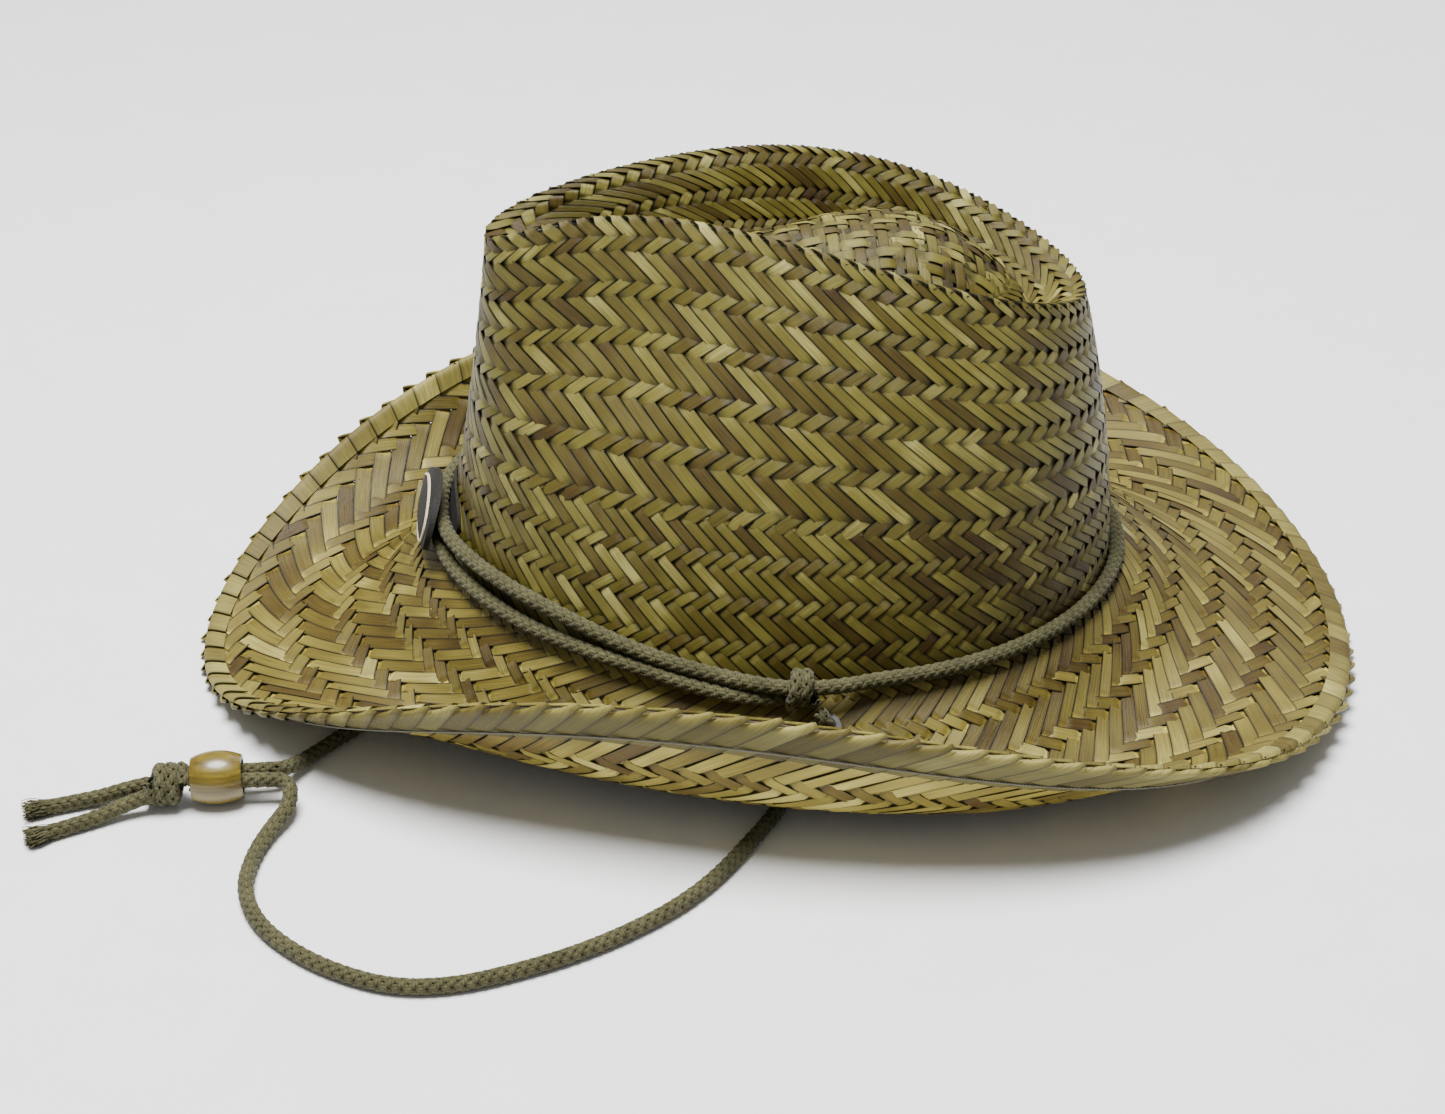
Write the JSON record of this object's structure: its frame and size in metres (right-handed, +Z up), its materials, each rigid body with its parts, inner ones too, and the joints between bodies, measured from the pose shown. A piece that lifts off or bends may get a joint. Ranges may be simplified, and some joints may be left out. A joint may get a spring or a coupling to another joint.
{
  "type": "woven straw hat",
  "caption": "Woven straw hat with a creased crown, side-rolled brim, cord band, leather front patch and a chin cord that closes with a sliding wooden bead.",
  "frame": {"origin": "on the ground plane below the middle of the hat's outline, with the hat standing on its brim", "axes": "+Z up, -Y the front of the hat, +X the wearer's left"},
  "size_m": [0.3212, 0.417, 0.1527],
  "materials": {
    "straw": "woven rush straw, satin",
    "wire": "plain wire",
    "thread": "matt thread",
    "sweatband": "matt ribbed cloth",
    "eyelet": "nickel plated",
    "cord": "braided cotton",
    "bead": "varnished",
    "leather": "fine grain, semi matt",
    "patch_thread": "thread",
    "backing": "felt"
  },
  "bodies": {
    "hat": {"straw_crown": "straw", "straw_brim": "straw", "brim_hem": "straw", "brim_wire": "wire", "hem_stitching": "thread", "sweatband": "sweatband", "sweatband_stitching": "thread", "eyelet_left": "eyelet", "eyelet_right": "eyelet", "eyelet_washer_left": "eyelet", "eyelet_washer_right": "eyelet", "band_cord": "cord", "front_cord": "cord", "hitch_knot_left": "cord", "hitch_knot_right": "cord", "chin_cord_left": "cord", "chin_cord_right": "cord", "end_knot": "cord", "cord_tail_left": "cord", "cord_tail_right": "cord", "patch_front": "leather", "patch_stitching": "patch_thread", "patch_back": "backing"},
    "slide_bead": {"bead": "bead"}
  },
  "joints": [
    {"name": "bead_slide", "type": "slide", "parent": "hat", "child": "slide_bead", "axis": [0, 1, 0], "range_m": [0, 0.006]}
  ]
}
